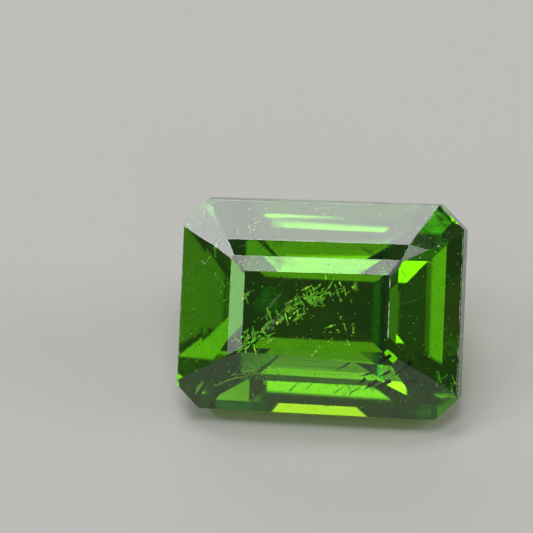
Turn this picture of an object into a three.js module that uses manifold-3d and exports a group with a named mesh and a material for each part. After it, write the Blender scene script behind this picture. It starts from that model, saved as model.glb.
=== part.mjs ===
// A chrome diopside cut as an eight-sided step cut, 8 by 6 mm, in millimetres.
//
// It is made the way a cutter makes it. A rough block is ground flat, one facet at a time, until only
// the stone is left. While it is cut the stone lies with its table level and facing +Z, its length
// along X, and the upper edge of its girdle at z = 0. Then it is turned to lie as it rests, on a wide
// facet of its pavilion, with the table facing forward and up.
//
// It was cut by eye, so no two sides are quite alike: each has its own angles, a degree or two apart.

import * as THREE from 'three';
import { mergeVertices } from 'three/addons/utils/BufferGeometryUtils.js';
import Module from 'manifold-3d';

// The rough block, and the height of the table above the girdle.
const ROUGH = { length: 9, width: 7, height: 8 };
const TABLE_HEIGHT = 1.1;

// The girdle is the belt round the widest part, a plain wall left between crown and pavilion.
const GIRDLE_THICKNESS = 0.67;

// One entry for each side, in order round the stone. `facing` is the compass direction that the wall
// faces, counted from +X towards +Y, and `reach` is the wall's distance from the axis. A wall leans
// out downwards by `lean`. `edge` is the height of the wall's upper edge, which wanders a little.
// `crown` and `pavilion` list the tiers from the girdle on, each by its slope from level. `starts` says
// how far a tier starts above the girdle's upper edge in the crown, or below its lower edge in the
// pavilion. A tier has its own `facing` where that isn't the wall's.
const SIDES = {
  right: {
    facing: 0, reach: 3.96, lean: 4.5, edge: 0,
    crown: [{ slope: 31 }, { slope: 33, starts: 0.55 }, { slope: 22, starts: 0.95 }],
    pavilion: [{ slope: 62 }, { slope: 44.5, starts: 0.25 }, { slope: 33.5, starts: 1.25 }],
  },
  backRight: {
    facing: 46, reach: 4.49, lean: 0, edge: -0.02,
    crown: [
      { slope: 30.5, facing: 40 },
      { slope: 29, starts: 0.74, facing: 37.5 },
      { slope: 15.5, starts: 0.93, facing: 43 },
    ],
    pavilion: [{ slope: 58 }, { slope: 50.5, starts: 0.95 }, { slope: 41, starts: 2.1 }],
  },
  back: {
    facing: 91, reach: 3.01, lean: 0, edge: 0,
    crown: [{ slope: 34.5 }, { slope: 28.5, starts: 0.73 }, { slope: 18.5, starts: 0.96 }],
    pavilion: [
      { slope: 57, facing: 90 },
      { slope: 42, starts: 0.55, facing: 90 },
      { slope: 38.5, starts: 1.7, facing: 90 },
    ],
  },
  backLeft: {
    facing: 135, reach: 4.42, lean: 0, edge: 0,
    crown: [
      { slope: 31, facing: 136.5 },
      { slope: 27, starts: 0.75, facing: 140 },
      { slope: 15.5, starts: 0.93, facing: 136 },
    ],
    pavilion: [{ slope: 58 }, { slope: 50.5, starts: 0.95 }, { slope: 41, starts: 2.1 }],
  },
  left: {
    facing: 179.5, reach: 3.96, lean: 0, edge: 0.05,
    crown: [{ slope: 32.5 }, { slope: 30, starts: 0.51 }, { slope: 18.5, starts: 0.96 }],
    pavilion: [
      { slope: 59, facing: 180 },
      { slope: 44.5, starts: 0.2, facing: 180 },
      { slope: 28.5, starts: 2.8, facing: 180 },
    ],
  },
  frontLeft: {
    facing: 225, reach: 4.48, lean: 0, edge: 0,
    crown: [
      { slope: 29.5, facing: 224 },
      { slope: 27.5, starts: 0.68, facing: 223 },
      { slope: 16.5, starts: 0.94, facing: 223.5 },
    ],
    pavilion: [{ slope: 52.5 }, { slope: 45, starts: 0.95 }, { slope: 35.5, starts: 2.1 }],
  },
  front: {
    facing: 270, reach: 2.99, lean: 0, edge: 0,
    crown: [
      { slope: 31, facing: 269.5 },
      { slope: 33, starts: 0.68, facing: 269.5 },
      { slope: 19.5, starts: 0.98, facing: 271 },
    ],
    pavilion: [{ slope: 56 }, { slope: 45.5, starts: 0.9 }, { slope: 40.5, starts: 1.85 }],
  },
  frontRight: {
    facing: 314, reach: 4.48, lean: 0, edge: -0.1,
    crown: [
      { slope: 29, facing: 315 },
      { slope: 27.5, starts: 0.75, facing: 316 },
      { slope: 18, starts: 0.95, facing: 314 },
    ],
    pavilion: [{ slope: 53.5 }, { slope: 46, starts: 0.95 }, { slope: 36.5, starts: 2.1 }],
  },
};

// The stone rests on the middle tier of the front pavilion, so it is tilted by that tier's slope.
const RESTING_SLOPE = SIDES.front.pavilion[1].slope;

const rad = THREE.MathUtils.degToRad;
const wasm = await Module();
wasm.setup();

/** A closed geometry as a solid that can be cut. */
function solid(geometry) {
  geometry.deleteAttribute('normal');
  geometry.deleteAttribute('uv');
  const merged = mergeVertices(geometry);
  const mesh = new wasm.Mesh({
    numProp: 3,
    vertProperties: new Float32Array(merged.attributes.position.array),
    triVerts: new Uint32Array(merged.index.array),
  });
  return new wasm.Manifold(mesh);
}

/** A solid as a geometry again. */
function geometryOf(stone) {
  const mesh = stone.getMesh();
  const geometry = new THREE.BufferGeometry();
  geometry.setAttribute('position', new THREE.BufferAttribute(mesh.vertProperties, 3));
  geometry.setIndex(new THREE.BufferAttribute(mesh.triVerts, 1));
  geometry.computeVertexNormals();
  return geometry;
}

/** Grinds one facet: all that lies beyond the plane through `point` facing `normal` comes off. */
function grind(stone, point, normal) {
  const lap = 40;
  const waste = new THREE.BoxGeometry(lap, lap, lap);
  waste.translate(0, 0, lap / 2);
  const turn = new THREE.Quaternion().setFromUnitVectors(new THREE.Vector3(0, 0, 1), normal);
  waste.applyQuaternion(turn);
  waste.translate(point.x, point.y, point.z);
  return stone.subtract(solid(waste));
}

/** The normal of a facet that faces the compass direction `facing` at `slope` from level. */
function facetNormal(facing, slope, downward = false) {
  const out = Math.sin(rad(slope));
  const up = Math.cos(rad(slope)) * (downward ? -1 : 1);
  return new THREE.Vector3(out * Math.cos(rad(facing)), out * Math.sin(rad(facing)), up);
}

/** The point at `reach` from the axis in the direction `facing`, at the height `level`. */
function pointAt(facing, reach, level) {
  return new THREE.Vector3(reach * Math.cos(rad(facing)), reach * Math.sin(rad(facing)), level);
}

function grindWall(stone, side) {
  return grind(stone, pointAt(side.facing, side.reach, 0), facetNormal(side.facing, 90 - side.lean));
}

/** The crown's tiers step inwards and upwards from the wall's upper edge. */
function grindCrown(stone, side) {
  let { reach } = side;
  let level = side.edge;
  side.crown.forEach(({ slope, starts = side.edge, facing = side.facing }, i) => {
    if (i > 0) {
      reach -= (starts - level) / Math.tan(rad(side.crown[i - 1].slope));
      level = starts;
    }
    stone = grind(stone, pointAt(facing, reach, level), facetNormal(facing, slope));
  });
  return stone;
}

/** The pavilion's tiers step inwards and downwards from the wall's lower edge to the keel. */
function grindPavilion(stone, side) {
  let reach = side.reach + GIRDLE_THICKNESS * Math.tan(rad(side.lean));
  let depth = 0;
  side.pavilion.forEach(({ slope, starts = 0, facing = side.facing }, i) => {
    if (i > 0) {
      reach -= (starts - depth) / Math.tan(rad(side.pavilion[i - 1].slope));
      depth = starts;
    }
    const level = -GIRDLE_THICKNESS - depth;
    stone = grind(stone, pointAt(facing, reach, level), facetNormal(facing, slope, true));
  });
  return stone;
}

function cutStone() {
  let stone = solid(new THREE.BoxGeometry(ROUGH.length, ROUGH.width, ROUGH.height));
  stone = grind(stone, new THREE.Vector3(0, 0, TABLE_HEIGHT), new THREE.Vector3(0, 0, 1));
  for (const side of Object.values(SIDES)) {
    stone = grindWall(stone, side);
    stone = grindCrown(stone, side);
    stone = grindPavilion(stone, side);
  }
  return geometryOf(stone);
}

function chromeDiopside() {
  const material = new THREE.MeshStandardMaterial({ color: 0x1f6b05, roughness: 0.02, metalness: 0 });
  const mesh = new THREE.Mesh(cutStone(), material);
  mesh.name = 'chrome_diopside';
  return mesh;
}

/** Turns the stone onto its resting facet, over the middle of the space that it takes up. */
function layDown(mesh) {
  mesh.rotation.x = rad(RESTING_SLOPE);
  const box = new THREE.Box3().setFromObject(mesh, true);
  mesh.position.set(-(box.min.x + box.max.x) / 2, -(box.min.y + box.max.y) / 2, -box.min.z);
}

const part = new THREE.Group();
const stone = chromeDiopside();
layDown(stone);
part.add(stone);

export default part;
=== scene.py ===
"""The look of a faceted chrome diopside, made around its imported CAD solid.

Blender works in metres. Places on the stone are given in millimetres in the axes that it was cut in:
its length along X, its width along Y and its table facing +Z, with the middle of the girdle's upper
edge at the origin. `TURN` and `GIRDLE_CENTRE` take them to where the stone lies.
"""

import math
import random

import bmesh
import bpy
from mathutils import Matrix, Vector
from mathutils.bvhtree import BVHTree


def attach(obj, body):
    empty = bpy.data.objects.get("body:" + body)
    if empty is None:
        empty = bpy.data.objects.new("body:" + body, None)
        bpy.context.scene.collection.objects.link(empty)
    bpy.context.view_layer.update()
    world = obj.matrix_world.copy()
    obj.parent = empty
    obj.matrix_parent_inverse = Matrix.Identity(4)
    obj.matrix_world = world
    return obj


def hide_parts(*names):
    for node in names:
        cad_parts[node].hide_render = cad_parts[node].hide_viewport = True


MM = 0.001

# How the stone lies: the tilt of its table, and where the middle of its girdle is, in millimetres.
TILT = 45.5
GIRDLE_CENTRE = Vector((-0.016, -0.33, 2.8)) * MM
TURN = Matrix.Rotation(math.radians(TILT), 3, "X")

# The polished edges between facets are round by this much, in millimetres, in this many steps.
EDGE_ROUNDING = 0.02
EDGE_STEPS = 3
# Points nearer than this in millimetres are one point, and faces within this many degrees one facet.
SAME_POINT = 0.0002
SAME_FACET = 0.1

# A height well above the crown, in millimetres. Places on the stone are sought from there downwards.
ABOVE_CROWN = 5

# Nicks in the edges: where each is and its size, in millimetres.
NICKS = [
    (-2.35, 3.0, 0.0, 0.08),
    (-2.1, 3.01, 0.0, 0.06),
    (0.75, 3.01, 0.0, 0.07),
    (1.9, 3.0, 0.0, 0.05),
    (2.55, 2.96, -0.02, 0.07),
    (3.2, 2.42, -0.02, 0.06),
    (3.94, 1.75, 0.0, 0.1),
    (3.97, 1.6, -0.05, 0.07),
    (3.96, -0.6, 0.0, 0.05),
    (3.97, -1.95, -0.02, 0.14),
    (3.95, -2.15, 0.0, 0.09),
    (3.5, -2.7, -0.1, 0.07),
    (0.9, -2.98, 0.0, 0.05),
    (-1.6, -2.98, 0.0, 0.07),
    (-2.2, -2.97, 0.0, 0.05),
    (-3.72, -2.36, 0.0, 0.2),
    (-3.62, -2.5, -0.03, 0.14),
    (-3.95, -0.6, 0.05, 0.06),
    (-3.95, 1.1, 0.05, 0.05),
]
# Each nick has the shape of a lump with this many corners, at uneven shares of its radius.
NICK_CORNERS = 12
NICK_UNEVENNESS = (0.7, 1.1)

# The crystal: how it bends light, how fine its polish is, and what a millimetre of it takes from red,
# green and blue light.
REFRACTIVE_INDEX = 1.68
POLISH_ROUGHNESS = 0.05
ABSORPTION = (0.24, 0.09, 1.2)

# The floor: its side in metres, and how far it lies below the stone.
FLOOR_SIZE = 2.0
FLOOR_GAP = 0.01 * MM
FLOOR_COLOUR = (0.62, 0.61, 0.59, 1.0)
FLOOR_ROUGHNESS = 0.8

# The photograph's frame, and where the middle of the girdle falls in it. Apart from its distance, the
# camera was found by fitting the stone to the photograph.
PICTURE_SIZE = 533
PIXELS_PER_MM = 35.55
GIRDLE_CENTRE_PIXEL = (320.2, 308.8)
CAMERA_DISTANCE = 170.0
CAMERA_AZIMUTH = 10.17
CAMERA_ELEVATION = 49.64
CAMERA_ROLL = 4.98
# The nearest and farthest things that the camera sees, in metres.
CAMERA_RANGE = (0.01, 10.0)

# Light that comes evenly from all around.
WORLD_LIGHT = 0.08
# Softboxes, by the direction in which they stand (azimuth to the right of the front, elevation), their
# size in millimetres, and how bright their face is. They began as a fit to the photograph's mean
# colours in some thirty regions, and were then moved and balanced. From the photograph's
# place, each facet of the crown mirrors one of them, or none.
SOFTBOX_DISTANCE = 300
SOFTBOXES = [
    # The polish of the upper, left and corner facets mirrors these.
    {"name": "top_softbox", "azimuth": -157, "elevation": 67, "size": (130, 80), "glow": 5.5},
    {"name": "upper_card", "azimuth": -28, "elevation": 75, "size": (60, 60), "glow": 4.0},
    {"name": "left_softbox", "azimuth": -87, "elevation": 43, "size": (100, 60), "glow": 6.5},
    {"name": "left_card", "azimuth": -50, "elevation": 26, "size": (50, 50), "glow": 2.2},
    {"name": "right_card", "azimuth": 76, "elevation": 52, "size": (50, 50), "glow": 2.7},
    # These shine through the stone, by way of its pavilion. The top tier of its back corners also
    # mirrors two of them.
    {"name": "front_card", "azimuth": -9, "elevation": 47, "size": (50, 26), "glow": 2.0},
    {"name": "front_upper_card", "azimuth": -12, "elevation": 54, "size": (50, 50), "glow": 0.55},
    {"name": "front_lower_card", "azimuth": 3, "elevation": 36, "size": (50, 50), "glow": 0.35},
    {"name": "front_right_card", "azimuth": 20.5, "elevation": 36, "size": (50, 50), "glow": 1.0},
    {"name": "low_right_card", "azimuth": 27, "elevation": 18, "size": (50, 50), "glow": 0.7},
    {"name": "front_left_card", "azimuth": -48, "elevation": 50, "size": (50, 50), "glow": 3.0},
    {"name": "upper_right_card", "azimuth": 36, "elevation": 54, "size": (50, 50), "glow": 1.1},
    {"name": "back_softbox", "azimuth": 180, "elevation": 28, "size": (130, 130), "glow": 1.3},
    {"name": "back_left_softbox", "azimuth": 208, "elevation": 28, "size": (130, 130), "glow": 1.5},
    # These light the floor and what lies inside the stone.
    {"name": "high_softbox", "azimuth": 45, "elevation": 80, "size": (100, 100), "glow": 5.5},
    {"name": "right_softbox", "azimuth": 97, "elevation": 28, "size": (130, 130), "glow": 3.0},
]

# Light is followed through this many turns on its way through the stone.
LIGHT_BOUNCES = 24

# The flaws that grew in the crystal, and the painted highlights along its edges. Places are on the
# stone's plan, in millimetres, and each flaw or highlight lies some way below the facet there. Most
# places were read off the photograph by eye, as pixels, and a scratch script worked them out on the
# plan. A pair of numbers is a range that each flaw takes its own value from. A `scatter` is the usual
# distance from the place or the angle that is meant. The look of each kind is its colour where it is
# darkest, its colour where it is lightest, and how much it shines.
FLAW_AND_HIGHLIGHT_LOOKS = {
    "pale_specks": ((0.5, 1.0, 0.3), (0.9, 1.0, 0.7), 0.8),
    "dark_specks": ((0.0, 0.01, 0.0), (0.02, 0.06, 0.01), 0.0),
    "bright_flakes": ((0.15, 1.0, 0.02), (0.6, 1.0, 0.15), 0.9),
    "pale_plates": ((0.12, 0.3, 0.08), (0.3, 0.5, 0.22), 0.0),
    "white_flecks": ((0.6, 0.65, 0.55), (0.95, 1.0, 0.9), 0.0),
    # A painted highlight: pale lines where the rounded edges would mirror the softboxes.
    "painted_edge_highlights": ((0.5, 0.6, 0.45), (0.9, 0.95, 0.85), 0.0),
    "bright_rods": ((0.3, 1.0, 0.02), (0.8, 1.0, 0.2), 0.6),
    "grey_veil": ((0.2, 0.3, 0.25), (0.5, 0.7, 0.6), 0.6),
    "dark_fracture": ((0.0, 0.006, 0.0), (0.01, 0.03, 0.004), 0.0),
    "dark_hairlines": ((0.02, 0.05, 0.01), (0.12, 0.2, 0.08), 0.0),
    "pale_hairlines": ((0.2, 0.5, 0.1), (0.6, 0.85, 0.4), 0.0),
}
FLAW_AND_HIGHLIGHT_ROUGHNESS = 0.35
# How many times a millimetre the colour of a flaw or painted highlight changes, and where in the noise it
# is darkest and lightest.
FLAW_AND_HIGHLIGHT_GRAIN = 14
FLAW_AND_HIGHLIGHT_DARKEST = 0.35
FLAW_AND_HIGHLIGHT_LIGHTEST = 0.65

# How uneven the flaws' outlines are. A flake's corners shift along its outline by up to this share of a
# step, and the reaches are shares of a flake's or a grain's half size. A blade's widths are shares of its
# width, at its foot and at the two places along it where its sides bend.
FLAKE_SHIFT = 0.3
FLAKE_REACH = (0.7, 1.1)
GRAIN_REACH = (0.7, 1.3)
BLADE_FOOT_WIDTH = (0.6, 1.2)
BLADE_BEND_WIDTH = (0.7, 1.1)
BLADE_BENDS = (0.45, 0.5)
BLADE_THICKNESS = 0.012

# Pale specks are strewn this far along the stone and across it, but not next to its outline.
SPECKS = {"count": 320, "radius": (0.013, 0.033), "depth": (0.06, 0.35)}
SPECKS_ALONG = 3.9
SPECKS_ACROSS = 3.0
OUTLINE_MARGIN = 1.04
# Dark specks, by the rectangle that they lie in and their count.
DARK_SPECKS = [
    ((-1.6, -2.75), (2.2, -1.5), 60),
    ((2.6, -2.2), (3.8, 1.6), 34),
    ((-3.8, -1.6), (-2.4, 2.1), 60),
    ((-1.5, 1.6), (2.4, 2.8), 40),
]
DARK_SPECK_RADIUS = (0.008, 0.022)
DARK_SPECK_DEPTH = (0.1, 0.5)

# A band of bright blocks and needles crosses the table from its lower left to its upper right.
BAND = {"start": (-2.2, -1.15), "end": (0.65, 0.9), "scatter": 0.17, "count": 50}
BAND_DEPTH = (0.06, 0.4)
# Knots where they crowd together: place, scatter and count.
KNOTS = [
    ((-0.54, 0.32), 0.09, 9),
    ((-0.43, -0.18), 0.07, 6),
    ((-0.23, 0.45), 0.1, 12),
    ((-0.09, 0.28), 0.1, 10),
    ((0.05, 0.35), 0.08, 8),
    ((0.27, 0.58), 0.08, 5),
    ((0.53, 0.48), 0.07, 3),
    ((0.83, 0.67), 0.07, 3),
    ((-0.55, -0.02), 0.12, 8),
    ((-1.65, -0.88), 0.14, 8),
    ((-1.37, -0.67), 0.1, 6),
    ((-1.9, -0.66), 0.16, 9),
    ((1.11, 0.76), 0.1, 4),
    ((-2.57, 0.43), 0.17, 6),
    ((-2.0, 0.34), 0.06, 4),
    ((0.3, -0.45), 0.28, 8),
    ((0.92, -0.37), 0.1, 3),
    ((-2.9, 1.55), 0.15, 5),
    ((-1.9, 2.3), 0.4, 5),
    ((3.7, -1.9), 0.16, 8),
]
# This share of the places holds a short row of blocks, along one of these directions on the plan in
# degrees, and the others hold a needle. A rise is how much a row or a needle climbs along its way.
ROW_SHARE = 0.75
ROW_DIRECTIONS = (110, 38)
ROW_DIRECTION_SCATTER = 12
ROW_RISE = 0.15
ROW_LENGTH = (2, 6)
ROW_STEP = 0.058
ROW_STEP_SCATTER = 0.008
# Blocks lie nearly level with the table, leaning back a little. Their leans and turns are in radians.
BLOCK_SIZE = (0.05, 0.095)
BLOCK_NARROWNESS = (0.5, 1)
BLOCK_CORNERS = 5
BLOCK_LEAN_BACK = -0.04
BLOCK_LEAN_SCATTER = 0.08
BLOCK_TURN_SCATTER = 0.3
NEEDLE_LENGTH = (0.08, 0.26)
NEEDLE_WIDTH = (0.01, 0.022)
NEEDLE_TURN_SCATTER = 0.25
NEEDLE_RISE = 0.2
# Where a needle's rings stand, as shares of its half length.
NEEDLE_RINGS = (-1, -0.4, 0.4, 1)

# Thin pale plates beside the band: one end, the other end and width.
PLATES = [
    ((-1.37, 0.03), (-0.94, 0.56), 0.08),
    ((-0.87, 0.11), (-0.57, 0.35), 0.06),
    ((-1.02, -0.12), (-0.82, 0.12), 0.05),
    ((-1.55, -0.3), (-1.3, -0.05), 0.04),
]
PLATE_DEPTH = 0.2

# White flecks just under the polish, this many at each place.
FLECKS = [
    (-1.83, 2.61),
    (-1.89, 2.39),
    (-2.1, 2.52),
    (-2.27, 2.08),
    (-1.63, 2.19),
    (-2.9, 2.59),
    (2.69, 2.65),
    (2.91, 2.71),
    (3.3, 1.9),
    (-3.3, 1.2),
    (-2.2, 1.3),
]
FLECKS_AT_PLACE = 3
FLECK_SCATTER = 0.04
FLECK_SIZE = (0.028, 0.07)
FLECK_NARROWNESS = (0.3, 0.8)
FLECK_DEPTH = 0.002
FLECK_THICKNESS = 0.006

# Edges between facets with a painted highlight along them in places: both ends on the plan, and the
# line's width.
PAINTED_HIGHLIGHT_EDGES = [
    ((2.055, 1.06), (2.06, -0.92), 0.04),
    ((-2.04, 1.06), (-2.05, -1.08), 0.02),
    ((-3.25, 2.93), (3.2, 3.03), 0.03),
    ((-2.62, 1.93), (2.52, 1.98), 0.02),
    ((-2.38, 1.48), (2.34, 1.56), 0.02),
    ((2.55, 2.02), (3.26, 3.02), 0.02),
    ((2.34, 1.56), (2.53, 1.98), 0.02),
    ((3.3, 3.02), (3.93, 2.42), 0.025),
    ((3.94, 2.3), (3.93, -2.2), 0.025),
    ((-3.93, 2.1), (-3.94, -1.5), 0.02),
    ((-3.33, 2.91), (-3.9, 2.34), 0.02),
]
# Painted highlight and clear polish take turns along the edge, in stretches of this length. This share is
# painted, at so much of the line's width. What remains at the edge's end is left clear when it is
# shorter than `HIGHLIGHT_REMAINDER`.
HIGHLIGHT_STRETCH = (0.06, 0.4)
HIGHLIGHT_SHARE = 0.7
HIGHLIGHT_NARROWNESS = (0.4, 1)
HIGHLIGHT_DEPTH = 0.006
HIGHLIGHT_REMAINDER = 0.05

# A healed crack, seen as a small grey veil of thin flakes.
VEIL = {"start": (-1.45, -0.55), "end": (-0.9, -0.16), "width": 0.24, "depth": 0.3}
VEIL_FLAKES = 110
VEIL_UNEVENNESS = 0.01
VEIL_LEAN_SCATTER = 0.15
VEIL_FLAKE_LENGTH = (0.04, 0.07)
VEIL_FLAKE_WIDTH = 0.04
VEIL_FLAKE_THICKNESS = 0.006

# Bright rods near the lower left corner: path and width. The last one lies by itself.
RODS = [
    ([(-2.87, -2.28), (-2.58, -2.11), (-2.26, -1.98), (-1.92, -1.93)], 0.06),
    ([(-2.06, -1.79), (-1.8, -1.74), (-1.55, -1.67)], 0.08),
    ([(-1.78, -1.83), (-1.55, -1.82)], 0.06),
    ([(-1.88, -1.51), (-1.77, -1.68)], 0.05),
    ([(-1.75, -1.58), (-1.7, -1.85)], 0.05),
    ([(-2.3, -1.9), (-2.05, -1.84)], 0.05),
    ([(-1.5, -1.72), (-1.3, -1.6)], 0.04),
    ([(-3.42, -2.56), (-3.32, -2.36), (-3.18, -2.18)], 0.13),
]
ROD_DEPTH = 0.15
# Grains lie strewn round the rods that lie together.
ROD_GRAINS = {"count": 110, "radius": (0.012, 0.034), "depth": (0.15, 0.3)}
ROD_GRAIN_SCATTER = (0.1, 0.06)

# Fine dark cracks under the polish, by the points that they pass. The first ones are at the upper side.
DARK_HAIRLINES = [
    [(-1.4, 2.6), (-0.9, 2.52), (-0.3, 2.62), (0.2, 2.5)],
    [(-1.25, 2.35), (-0.7, 2.42), (-0.15, 2.3), (0.5, 2.4)],
    [(-0.9, 2.2), (-0.4, 2.28), (0.0, 2.15)],
    [(-0.75, 2.65), (-0.1, 2.72), (0.6, 2.68)],
    [(-1.1, 2.72), (-0.95, 2.45), (-0.7, 2.2)],
    # Long ones lie along the stone near its front.
    [(-1.15, -1.5), (0.2, -1.55), (1.5, -1.52)],
    [(-0.6, -1.7), (0.6, -1.74), (1.8, -1.72)],
    [(-1.3, -1.86), (0.1, -1.9), (1.3, -1.88), (1.9, -1.94)],
    [(0.3, -1.62), (1.2, -1.6), (1.7, -1.64)],
    [(-1.0, -1.35), (0.0, -1.38), (0.7, -1.36)],
]
# Fine pale ones, most of them at the left.
PALE_HAIRLINES = [
    [(-3.4, 0.7), (-3.21, 1.08), (-2.9, 1.45), (-2.72, 1.74)],
    [(-3.85, 0.25), (-3.5, 0.5)],
    [(-3.75, -0.5), (-3.3, -0.2)],
    [(-0.5, 2.8), (0.0, 2.84), (0.5, 2.88)],
    [(1.0, 1.2), (1.5, 1.32)],
    [(2.3, 0.3), (3.0, 0.55)],
    [(-1.2, 0.6), (-0.9, 0.9)],
    [(-2.3, 1.65), (-1.9, 1.9)],
]
DARK_HAIRLINE_DEPTH = 0.05
PALE_HAIRLINE_DEPTH = 0.06
HAIRLINE_WIDTH = 0.015
HAIRLINE_NARROWNESS = (0.6, 1.2)
# Between two of its points a hairline takes this many steps, and wanders by this much at each.
HAIRLINE_STEPS = 4
HAIRLINE_SCATTER = 0.012

# Dark blades of an open fracture at the lower right: base, tip and width.
BLADES = [
    ((1.75, -1.84), (1.35, -2.16), 0.119),
    ((2.13, -1.82), (1.66, -2.1), 0.153),
    ((1.43, -1.81), (1.18, -2.02), 0.102),
    ((2.13, -1.1), (1.76, -1.38), 0.102),
    ((2.14, -1.53), (1.78, -1.76), 0.085),
    ((2.67, -1.3), (2.13, -1.74), 0.102),
    ((2.86, -1.79), (2.42, -1.91), 0.119),
    ((1.0, -1.35), (0.55, -1.62), 0.051),
    ((1.65, -1.62), (1.25, -1.75), 0.068),
    # Thinner ones lie along the front, with their tips up.
    ((-0.75, -2.3), (-0.45, -1.98), 0.03),
    ((-0.3, -2.24), (-0.05, -2.0), 0.022),
    ((0.5, -2.31), (0.87, -2.02), 0.03),
    ((0.95, -2.3), (1.3, -2.01), 0.04),
    ((1.95, -2.28), (2.2, -2.05), 0.04),
]
BLADE_DEPTH = 0.15


def link(thing):
    bpy.context.scene.collection.objects.link(thing)
    return thing


def direction(azimuth, elevation):
    """The unit vector that points to `azimuth` degrees right of the front and `elevation` up."""
    across, up = math.radians(azimuth), math.radians(elevation)
    return Vector((
        math.sin(across) * math.cos(up),
        -math.cos(across) * math.cos(up),
        math.sin(up),
    ))


def facing(place, back, up):
    """The matrix of something at `place` whose +Z points along `back`, with `up` as its upper side."""
    side = up.cross(back).normalized()
    upright = back.cross(side)
    turn = Matrix((side, upright, back)).transposed()
    return Matrix.Translation(place) @ turn.to_4x4()


def new_material(name):
    material = bpy.data.materials.new(name)
    material.use_nodes = True
    return material, material.node_tree, material.node_tree.nodes["Principled BSDF"]


def crystal_material():
    """Clear green crystal, see-through, with its colour in its depth."""
    material, tree, shader = new_material("green_crystal")
    shader.inputs["Base Color"].default_value = (1.0, 1.0, 1.0, 1.0)
    shader.inputs["Roughness"].default_value = POLISH_ROUGHNESS
    shader.inputs["IOR"].default_value = REFRACTIVE_INDEX
    shader.inputs["Transmission Weight"].default_value = 1.0
    depth = tree.nodes.new("ShaderNodeVolumeAbsorption")
    strongest = max(ABSORPTION)
    depth.inputs["Color"].default_value = (*[1 - share / strongest for share in ABSORPTION], 1.0)
    depth.inputs["Density"].default_value = strongest / MM
    output = tree.nodes["Material Output"]
    tree.links.new(depth.outputs["Volume"], output.inputs["Volume"])
    return material


def flaw_or_highlight_material(name):
    """The material of a flaw or a painted highlight, whose colour wanders between dark and light."""
    dark, light, shine = FLAW_AND_HIGHLIGHT_LOOKS[name]
    material, tree, shader = new_material(name)
    where = tree.nodes.new("ShaderNodeTexCoord")
    noise = tree.nodes.new("ShaderNodeTexNoise")
    noise.inputs["Scale"].default_value = FLAW_AND_HIGHLIGHT_GRAIN / MM
    ramp = tree.nodes.new("ShaderNodeValToRGB")
    ramp.color_ramp.elements[0].position = FLAW_AND_HIGHLIGHT_DARKEST
    ramp.color_ramp.elements[0].color = (*dark, 1.0)
    ramp.color_ramp.elements[1].position = FLAW_AND_HIGHLIGHT_LIGHTEST
    ramp.color_ramp.elements[1].color = (*light, 1.0)
    tree.links.new(where.outputs["Object"], noise.inputs["Vector"])
    tree.links.new(noise.outputs["Fac"], ramp.inputs["Fac"])
    tree.links.new(ramp.outputs["Color"], shader.inputs["Base Color"])
    shader.inputs["Roughness"].default_value = FLAW_AND_HIGHLIGHT_ROUGHNESS
    shader.inputs["Metallic"].default_value = shine
    shader.inputs["Specular IOR Level"].default_value = shine / 2
    return material


def floor_material():
    material, tree, shader = new_material("pale_floor")
    shader.inputs["Base Color"].default_value = FLOOR_COLOUR
    shader.inputs["Roughness"].default_value = FLOOR_ROUGHNESS
    return material


def to_world(point):
    """A place in the stone's own axes, in millimetres, as a place in the scene."""
    return GIRDLE_CENTRE + TURN @ point * MM


def to_stone(place):
    return TURN.transposed() @ (place - GIRDLE_CENTRE) / MM


def rounded_shape(node):
    """The CAD stone with its edges rounded by a hair and every facet still flat, in its own axes."""
    shape = bmesh.new()
    shape.from_mesh(node.data)
    for vertex in shape.verts:
        vertex.co = to_stone(vertex.co)
    bmesh.ops.remove_doubles(shape, verts=shape.verts, dist=SAME_POINT)
    bmesh.ops.dissolve_limit(
        shape, angle_limit=math.radians(SAME_FACET), verts=shape.verts, edges=shape.edges
    )
    bmesh.ops.bevel(
        shape, geom=list(shape.edges), offset=EDGE_ROUNDING, segments=EDGE_STEPS,
        profile=0.5, affect="EDGES", clamp_overlap=True,
    )
    for face in shape.faces:
        face.smooth = False
    mesh = bpy.data.meshes.new("stone")
    shape.to_mesh(mesh)
    shape.free()
    for name in ("custom_normal", "UVMap"):
        if name in mesh.attributes:
            mesh.attributes.remove(mesh.attributes[name])
    return mesh


def nick_cutter():
    """Small uneven lumps on the edges, whose shape is taken out of the stone."""
    dice = random.Random(5)
    shape = bmesh.new()
    for x, y, z, size in NICKS:
        lump = []
        for _ in range(NICK_CORNERS):
            way = Vector([dice.gauss(0, 1) for _ in range(3)]).normalized()
            corner = Vector((x, y, z)) + way * size / 2 * dice.uniform(*NICK_UNEVENNESS)
            lump.append(shape.verts.new(corner))
        hull = bmesh.ops.convex_hull(shape, input=lump)
        loose = {item for item in hull["geom_interior"] if isinstance(item, bmesh.types.BMVert)}
        bmesh.ops.delete(shape, geom=list(loose), context="VERTS")
    mesh = bpy.data.meshes.new("nick_cutter")
    shape.to_mesh(mesh)
    shape.free()
    return link(bpy.data.objects.new("nick_cutter", mesh))


def make_stone(node):
    """The stone as it shows: the CAD solid with rounded edges, less the nicks that wear has left."""
    stone = link(bpy.data.objects.new("stone", rounded_shape(node)))
    cutter = nick_cutter()
    cut = stone.modifiers.new("nicks", "BOOLEAN")
    cut.operation = "DIFFERENCE"
    cut.solver = "EXACT"
    cut.object = cutter
    worn = stone.evaluated_get(bpy.context.evaluated_depsgraph_get())
    mesh = bpy.data.meshes.new_from_object(worn)
    stone.modifiers.clear()
    bpy.data.objects.remove(cutter)
    for vertex in mesh.vertices:
        vertex.co = to_world(vertex.co)
    mesh.materials.clear()
    mesh.materials.append(crystal_material())
    stone.data = mesh
    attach(stone, "root")
    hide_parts("chrome_diopside")


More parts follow.
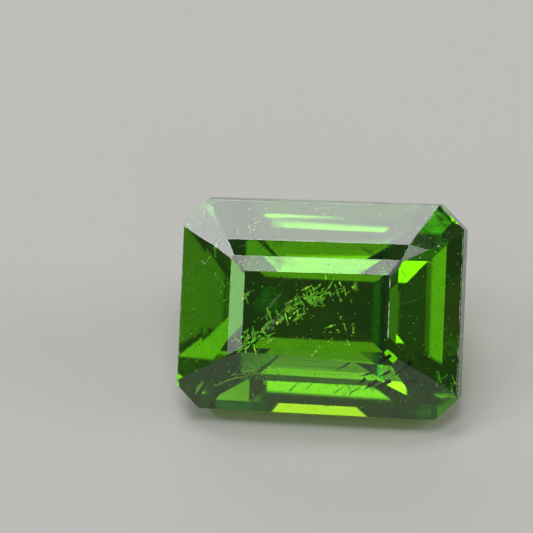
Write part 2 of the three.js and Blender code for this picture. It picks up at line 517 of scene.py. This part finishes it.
class Solids:
    """Many small closed solids in one mesh. Their points are in the stone's own axes, in millimetres."""

    def __init__(self):
        self.points = []
        self.faces = []

    def add(self, points, faces):
        first = len(self.points)
        self.points += points
        self.faces += [[first + corner for corner in face] for face in faces]

    def add_rings(self, rings):
        """A tube through `rings` of points, closed at both ends."""
        sides = len(rings[0])
        faces = [list(range(sides))[::-1]]
        for ring in range(len(rings) - 1):
            for side in range(sides):
                a = ring * sides + side
                b = ring * sides + (side + 1) % sides
                faces.append([a, b, b + sides, a + sides])
        last = (len(rings) - 1) * sides
        faces.append([last + side for side in range(sides)])
        self.add([point for ring in rings for point in ring], faces)

    def add_thread(self, path, width, sides=5, taper=0.25):
        """A thin rod along `path` that narrows to both ends."""
        rings = []
        for i, point in enumerate(path):
            before, after = path[max(i - 1, 0)], path[min(i + 1, len(path) - 1)]
            along = (after - before).normalized()
            across = along.orthogonal().normalized()
            third = along.cross(across)
            share = i / (len(path) - 1)
            radius = width / 2 * (taper + (1 - taper) * math.sin(math.pi * share))
            angles = [2 * math.pi * side / sides for side in range(sides)]
            rings.append([
                point + radius * (across * math.cos(angle) + third * math.sin(angle))
                for angle in angles
            ])
        self.add_rings(rings)

    def add_flake(self, middle, turn, length, width, thickness, dice, corners=6):
        """A thin plate with an uneven outline."""
        outline = []
        for corner in range(corners):
            angle = 2 * math.pi * (corner + dice.uniform(-FLAKE_SHIFT, FLAKE_SHIFT)) / corners
            reach = dice.uniform(*FLAKE_REACH) / 2
            along, across = math.cos(angle) * length * reach, math.sin(angle) * width * reach
            outline.append(Vector((along, across, 0)))
        half = Vector((0, 0, thickness / 2))
        self.add_rings([
            [middle + turn @ (point - half) for point in outline],
            [middle + turn @ (point + half) for point in outline],
        ])

    def add_blade(self, start, end, width, dice):
        """A thin plate from `start` to its tip at `end`."""
        along = end - start
        across = Vector((0, 0, 1)).cross(along).normalized() * width / 2
        sunk = Vector((0, 0, -BLADE_THICKNESS))
        one_bend, other_bend = [start.lerp(end, share) for share in BLADE_BENDS]
        outline = [
            start + across * dice.uniform(*BLADE_FOOT_WIDTH),
            one_bend + across * dice.uniform(*BLADE_BEND_WIDTH),
            end,
            other_bend - across * dice.uniform(*BLADE_BEND_WIDTH),
            start - across * dice.uniform(*BLADE_FOOT_WIDTH),
        ]
        self.add_rings([[point + sunk for point in outline], outline])

    def add_grain(self, middle, radius, dice):
        """A speck with eight uneven faces."""
        axes = [Vector((1, 0, 0)), Vector((0, 1, 0)), Vector((0, 0, 1))]
        turn = random_turn(dice)
        points = []
        for axis in axes:
            for way in (1, -1):
                points.append(middle + turn @ axis * way * radius * dice.uniform(*GRAIN_REACH))
        faces = []
        for x in (0, 1):
            for y in (2, 3):
                for z in (4, 5):
                    outward = (x + y + z) % 2 == 0
                    faces.append([x, y, z] if outward else [x, z, y])
        self.add(points, faces)

    def build(self, name, material):
        mesh = bpy.data.meshes.new(name)
        mesh.from_pydata([to_world(point) for point in self.points], [], self.faces)
        shape = bmesh.new()
        shape.from_mesh(mesh)
        bmesh.ops.recalc_face_normals(shape, faces=shape.faces)
        shape.to_mesh(mesh)
        shape.free()
        mesh.materials.append(material)
        piece = link(bpy.data.objects.new(name, mesh))
        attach(piece, "root")


def random_turn(dice):
    """A turn to any direction."""
    axis = Vector([dice.gauss(0, 1) for _ in range(3)]).normalized()
    return Matrix.Rotation(dice.uniform(0, 2 * math.pi), 3, axis)


class Crown:
    """Finds places inside the stone, by where they are on its plan and how deep they lie."""

    def __init__(self, node):
        points = [to_stone(vertex.co) for vertex in node.data.vertices]
        self.tree = BVHTree.FromPolygons(points, [list(face.vertices) for face in node.data.polygons])

    def surface(self, x, y):
        """The place on the crown at (x, y) and its normal, or None twice outside the stone."""
        above, down = Vector((x, y, ABOVE_CROWN)), Vector((0, 0, -1))
        return self.tree.ray_cast(above, down)[:2]

    def below(self, x, y, depth):
        """The place `depth` below the crown at (x, y), or None outside the stone."""
        hit, _ = self.surface(x, y)
        return None if hit is None else hit - Vector((0, 0, depth))


def make_specks(crown):
    """Pale specks all over the stone, and dark ones in four parts of it."""
    dice = random.Random(11)
    pale = Solids()
    made = 0
    while made < SPECKS["count"]:
        x = dice.uniform(-SPECKS_ALONG, SPECKS_ALONG)
        y = dice.uniform(-SPECKS_ACROSS, SPECKS_ACROSS)
        middle = crown.below(x, y, dice.uniform(*SPECKS["depth"]))
        if middle is None or crown.below(x * OUTLINE_MARGIN, y * OUTLINE_MARGIN, 0) is None:
            continue
        pale.add_grain(middle, dice.uniform(*SPECKS["radius"]), dice)
        made += 1
    pale.build("specks", flaw_or_highlight_material("pale_specks"))
    dark = Solids()
    for (left, low), (right, high), count in DARK_SPECKS:
        for _ in range(count):
            x, y = dice.uniform(left, right), dice.uniform(low, high)
            middle = crown.below(x, y, dice.uniform(*DARK_SPECK_DEPTH))
            if middle is not None:
                dark.add_grain(middle, dice.uniform(*DARK_SPECK_RADIUS), dice)
    dark.build("dark_specks", flaw_or_highlight_material("dark_specks"))


def add_row(solids, middle, dice):
    """A short row of blocks that stand side by side."""
    angle = math.radians(dice.choice(ROW_DIRECTIONS) + dice.gauss(0, ROW_DIRECTION_SCATTER))
    way = Vector((math.cos(angle), math.sin(angle), dice.uniform(-ROW_RISE, ROW_RISE)))
    count = dice.randint(*ROW_LENGTH)
    for place in range(count):
        offset = (place - (count - 1) / 2) * ROW_STEP + dice.gauss(0, ROW_STEP_SCATTER)
        back = Matrix.Rotation(dice.gauss(BLOCK_LEAN_BACK, BLOCK_LEAN_SCATTER), 3, "X")
        aside = Matrix.Rotation(dice.gauss(0, BLOCK_LEAN_SCATTER), 3, "Y")
        turn = back @ aside @ Matrix.Rotation(angle + dice.gauss(0, BLOCK_TURN_SCATTER), 3, "Z")
        size = dice.uniform(*BLOCK_SIZE)
        width = size * dice.uniform(*BLOCK_NARROWNESS)
        solids.add_flake(middle + way * offset, turn, size, width, size / 2, dice, BLOCK_CORNERS)


def make_band(crown):
    """The blocks and needles of the bright band and its knots, and the plates beside them."""
    dice = random.Random(23)
    places = []
    start, end = Vector(BAND["start"]), Vector(BAND["end"])
    across = (end - start).orthogonal().normalized()
    for _ in range(BAND["count"]):
        along = start.lerp(end, dice.random())
        places.append(along + across * dice.gauss(0, BAND["scatter"]))
    for place, scatter, count in KNOTS:
        for _ in range(count):
            places.append(Vector(place) + Vector((dice.gauss(0, scatter), dice.gauss(0, scatter))))
    lie = math.atan2(end.y - start.y, end.x - start.x)
    solids = Solids()
    for place in places:
        middle = crown.below(place.x, place.y, dice.uniform(*BAND_DEPTH))
        if middle is None:
            continue
        if dice.random() < ROW_SHARE:
            add_row(solids, middle, dice)
            continue
        angle = lie + dice.gauss(0, NEEDLE_TURN_SCATTER)
        way = Vector((math.cos(angle), math.sin(angle), dice.uniform(-NEEDLE_RISE, NEEDLE_RISE)))
        reach = dice.uniform(*NEEDLE_LENGTH) / 2
        path = [middle + way * reach * share for share in NEEDLE_RINGS]
        solids.add_thread(path, dice.uniform(*NEEDLE_WIDTH))
    solids.build("bright_flakes", flaw_or_highlight_material("bright_flakes"))
    plates = Solids()
    for base, tip, width in PLATES:
        plates.add_blade(crown.below(*base, PLATE_DEPTH), crown.below(*tip, PLATE_DEPTH), width, dice)
    plates.build("plates", flaw_or_highlight_material("pale_plates"))


def make_flecks(crown):
    """Flecks that lie flat under the polish."""
    dice = random.Random(29)
    solids = Solids()
    for x, y in FLECKS:
        for _ in range(FLECKS_AT_PLACE):
            beside, beyond = dice.gauss(0, FLECK_SCATTER), dice.gauss(0, FLECK_SCATTER)
            spot, normal = crown.surface(x + beside, y + beyond)
            flat = Vector((0, 0, 1)).rotation_difference(normal).to_matrix()
            turn = flat @ Matrix.Rotation(dice.uniform(0, math.pi), 3, "Z")
            size = dice.uniform(*FLECK_SIZE)
            width = size * dice.uniform(*FLECK_NARROWNESS)
            middle = spot - normal * FLECK_DEPTH
            solids.add_flake(middle, turn, size, width, FLECK_THICKNESS, dice)
    solids.build("white_flecks", flaw_or_highlight_material("white_flecks"))


def make_painted_edge_highlights(crown):
    """Broken pale lines along the edges: a painted highlight where the polish would catch the light."""
    dice = random.Random(37)
    solids = Solids()
    for start, end, width in PAINTED_HIGHLIGHT_EDGES:
        start, end = Vector(start), Vector(end)
        length = (end - start).length
        reached = 0
        while reached < length - HIGHLIGHT_REMAINDER:
            step = min(dice.uniform(*HIGHLIGHT_STRETCH), length - reached)
            if dice.random() < HIGHLIGHT_SHARE:
                stretch = [start.lerp(end, (reached + step * share) / length) for share in (0, 0.5, 1)]
                path = [crown.below(x, y, HIGHLIGHT_DEPTH) for x, y in stretch]
                solids.add_thread(path, width * dice.uniform(*HIGHLIGHT_NARROWNESS), taper=0.5)
            reached += step
    solids.build("painted_edge_highlights", flaw_or_highlight_material("painted_edge_highlights"))


def make_rods(crown):
    """Bright rods with grains strewn round them."""
    dice = random.Random(31)
    solids = Solids()
    for rod, width in RODS:
        path = [crown.below(x, y, ROD_DEPTH) for x, y in rod]
        solids.add_thread(path, width, taper=0.4)
    for _ in range(ROD_GRAINS["count"]):
        rod, _ = dice.choice(RODS[:-1])
        x, y = rod[dice.randrange(len(rod))]
        x += dice.gauss(0, ROD_GRAIN_SCATTER[0])
        y += dice.gauss(0, ROD_GRAIN_SCATTER[1])
        middle = crown.below(x, y, dice.uniform(*ROD_GRAINS["depth"]))
        solids.add_grain(middle, dice.uniform(*ROD_GRAINS["radius"]), dice)
    solids.build("bright_rods", flaw_or_highlight_material("bright_rods"))


def make_hairlines(crown, name, lines, depth, dice):
    """Thin threads through the points of each line, a little crooked."""
    solids = Solids()
    for line in lines:
        path = []
        for (x0, y0), (x1, y1) in zip(line, line[1:]):
            for step in range(HAIRLINE_STEPS):
                share = step / HAIRLINE_STEPS
                x = x0 + (x1 - x0) * share + dice.gauss(0, HAIRLINE_SCATTER)
                y = y0 + (y1 - y0) * share + dice.gauss(0, HAIRLINE_SCATTER)
                path.append(crown.below(x, y, depth))
        path.append(crown.below(*line[-1], depth))
        solids.add_thread(path, HAIRLINE_WIDTH * dice.uniform(*HAIRLINE_NARROWNESS), sides=4)
    solids.build(name, flaw_or_highlight_material(name))


def make_blades(crown):
    """The dark blades of the open fracture."""
    dice = random.Random(47)
    solids = Solids()
    for base, tip, width in BLADES:
        solids.add_blade(crown.below(*base, BLADE_DEPTH), crown.below(*tip, BLADE_DEPTH), width, dice)
    solids.build("dark_blades", flaw_or_highlight_material("dark_fracture"))


def make_veil(crown):
    """A healed crack: an oval sheet of thin flakes."""
    dice = random.Random(53)
    start, end = Vector(VEIL["start"]), Vector(VEIL["end"])
    along = (end - start) / 2
    across = along.orthogonal().normalized() * VEIL["width"] / 2
    centre = (start + end) / 2
    solids = Solids()
    for _ in range(VEIL_FLAKES):
        angle, reach = dice.uniform(0, 2 * math.pi), math.sqrt(dice.random())
        place = centre + along * math.cos(angle) * reach + across * math.sin(angle) * reach
        depth = VEIL["depth"] + dice.uniform(-VEIL_UNEVENNESS, VEIL_UNEVENNESS)
        middle = crown.below(place.x, place.y, depth)
        lean = Matrix.Rotation(dice.gauss(0, VEIL_LEAN_SCATTER), 3, "X")
        turn = lean @ Matrix.Rotation(dice.uniform(0, math.pi), 3, "Z")
        length = dice.uniform(*VEIL_FLAKE_LENGTH)
        solids.add_flake(middle, turn, length, VEIL_FLAKE_WIDTH, VEIL_FLAKE_THICKNESS, dice)
    solids.build("veil", flaw_or_highlight_material("grey_veil"))


def make_floor():
    mesh = bpy.data.meshes.new("floor")
    half = FLOOR_SIZE / 2
    outline = [(-half, -half, 0), (half, -half, 0), (half, half, 0), (-half, half, 0)]
    mesh.from_pydata(outline, [], [(0, 1, 2, 3)])
    mesh.materials.append(floor_material())
    floor = link(bpy.data.objects.new("floor", mesh))
    floor.location.z = -FLOOR_GAP


def make_camera():
    """The camera that frames the stone as the photograph does."""
    data = bpy.data.cameras.new("camera")
    data.sensor_fit = "HORIZONTAL"
    half_width = PICTURE_SIZE / 2 / PIXELS_PER_MM
    data.angle = 2 * math.atan(half_width / CAMERA_DISTANCE)
    data.clip_start, data.clip_end = CAMERA_RANGE
    towards = direction(CAMERA_AZIMUTH, CAMERA_ELEVATION)
    side = Vector((0, 0, 1)).cross(towards).normalized()
    upright = towards.cross(side)
    roll = math.radians(CAMERA_ROLL)
    right = side * math.cos(roll) - upright * math.sin(roll)
    up = side * math.sin(roll) + upright * math.cos(roll)
    rightwards = (PICTURE_SIZE / 2 - GIRDLE_CENTRE_PIXEL[0]) / PIXELS_PER_MM
    upwards = (GIRDLE_CENTRE_PIXEL[1] - PICTURE_SIZE / 2) / PIXELS_PER_MM
    place = GIRDLE_CENTRE + towards * CAMERA_DISTANCE * MM
    aim = GIRDLE_CENTRE + (right * rightwards + up * upwards) * MM
    back = (place - aim).normalized()
    camera = link(bpy.data.objects.new("camera", data))
    camera.matrix_world = facing(place, back, up)
    bpy.context.scene.camera = camera


def make_softbox(name, azimuth, elevation, size, glow):
    """A lit card that faces the stone. Its power grows with its size, so its face stays as bright."""
    data = bpy.data.lights.new(name, "AREA")
    data.shape = "RECTANGLE"
    data.size = size[0] * MM
    data.size_y = size[1] * MM
    data.energy = glow * math.pi * data.size * data.size_y
    softbox = link(bpy.data.objects.new(name, data))
    towards = direction(azimuth, elevation)
    softbox.matrix_world = facing(towards * SOFTBOX_DISTANCE * MM, towards, Vector((0, 0, 1)))


def light_studio():
    world = bpy.data.worlds.new("studio")
    world.use_nodes = True
    world.node_tree.nodes["Background"].inputs["Color"].default_value = (
        WORLD_LIGHT, WORLD_LIGHT, WORLD_LIGHT, 1.0
    )
    bpy.context.scene.world = world
    for softbox in SOFTBOXES:
        make_softbox(**softbox)


def set_up_render():
    """Enough bounces for light to find its way through the stone, and colours shown as they are.

    The denoiser goes by the picture and the surfaces' colours. Their normals would leave dots in the
    facets' haze.
    """
    scene = bpy.context.scene
    scene.cycles.max_bounces = LIGHT_BOUNCES
    scene.cycles.glossy_bounces = LIGHT_BOUNCES
    scene.cycles.transmission_bounces = LIGHT_BOUNCES
    scene.cycles.use_denoising = True
    scene.cycles.denoising_input_passes = "RGB_ALBEDO"
    scene.view_settings.view_transform = "Standard"


def corners(box):
    return [list(corner) for corner in box]


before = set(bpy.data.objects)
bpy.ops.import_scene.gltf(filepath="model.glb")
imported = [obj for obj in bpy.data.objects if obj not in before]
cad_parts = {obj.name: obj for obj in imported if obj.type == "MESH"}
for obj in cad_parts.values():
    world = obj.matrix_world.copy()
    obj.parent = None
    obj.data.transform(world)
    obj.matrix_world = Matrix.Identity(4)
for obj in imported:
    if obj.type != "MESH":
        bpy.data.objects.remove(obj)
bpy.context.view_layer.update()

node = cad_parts["chrome_diopside"]
make_stone(node)
crown = Crown(node)
make_specks(crown)
make_band(crown)
make_flecks(crown)
make_painted_edge_highlights(crown)
make_rods(crown)
make_veil(crown)
make_blades(crown)
make_hairlines(crown, "dark_hairlines", DARK_HAIRLINES, DARK_HAIRLINE_DEPTH, random.Random(61))
make_hairlines(crown, "pale_hairlines", PALE_HAIRLINES, PALE_HAIRLINE_DEPTH, random.Random(67))
make_floor()
make_camera()
light_studio()
set_up_render()
